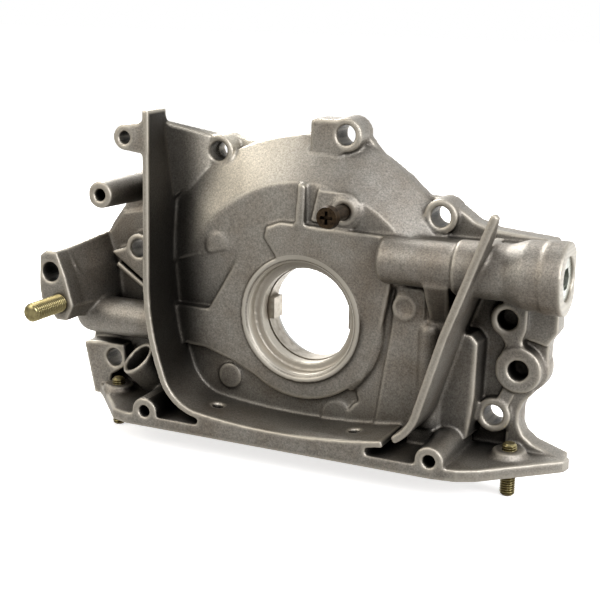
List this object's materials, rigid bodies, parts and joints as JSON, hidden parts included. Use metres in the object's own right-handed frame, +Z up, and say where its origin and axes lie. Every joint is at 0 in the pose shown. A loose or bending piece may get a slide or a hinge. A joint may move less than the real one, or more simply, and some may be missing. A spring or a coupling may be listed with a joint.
{
  "type": "engine oil pump",
  "caption": "Crankshaft-driven engine oil pump: die-cast housing with gerotor rotors, cover plate, relief valve, oil pan flange and belt-cover wall.",
  "frame": {"origin": "on the crankshaft axis, in the gasket face at the rear, which is also the rear face of the rotor cover plate", "axes": "+X to the right seen from the front, -Y to the front (out of the engine), +Z up"},
  "size_m": [0.2299, 0.057, 0.1441],
  "materials": {
    "cast_housing": "die-cast, blasted",
    "rotor_steel": "sintered and ground",
    "plate_steel": "ground",
    "screw_steel": "phosphated",
    "valve_steel": "ground",
    "plug_steel": "zinc plated",
    "dark_screw": "black phosphated, rusty",
    "yellow_zinc": "yellow zinc plated"
  },
  "bodies": {
    "housing": {"pump_housing": "cast_housing", "rotor_cover_plate": "plate_steel", "cover_plate_screws": "screw_steel", "relief_valve_plug": "plug_steel", "relief_spring": "valve_steel", "belt_guard_screw": "dark_screw", "bracket_stud": "yellow_zinc", "pan_stud_left": "yellow_zinc", "pan_stud_right": "yellow_zinc"},
    "outer_rotor": {"outer_rotor": "rotor_steel"},
    "inner_rotor": {"inner_rotor": "rotor_steel"},
    "relief_piston": {"relief_piston": "valve_steel"}
  },
  "joints": [
    {"name": "outer_rotor_spin", "type": "hinge", "parent": "housing", "child": "outer_rotor", "pos_m": [0, -0.008, 0.0032], "axis": [0, 1, 0], "continuous": true},
    {"name": "inner_rotor_spin", "type": "hinge", "parent": "housing", "child": "inner_rotor", "pos_m": [0, -0.008, 0], "axis": [0, 1, 0], "continuous": true},
    {"name": "relief_piston_slide", "type": "slide", "parent": "housing", "child": "relief_piston", "axis": [1, 0, 0], "range_m": [0, 0.007], "stiffness_N_per_m": 1500, "springref_m": -0.02, "deforming": ["relief_spring"]}
  ],
  "couplings": [
    {"joint": "inner_rotor_spin", "follows": "outer_rotor_spin", "ratio": 1.1111}
  ]
}
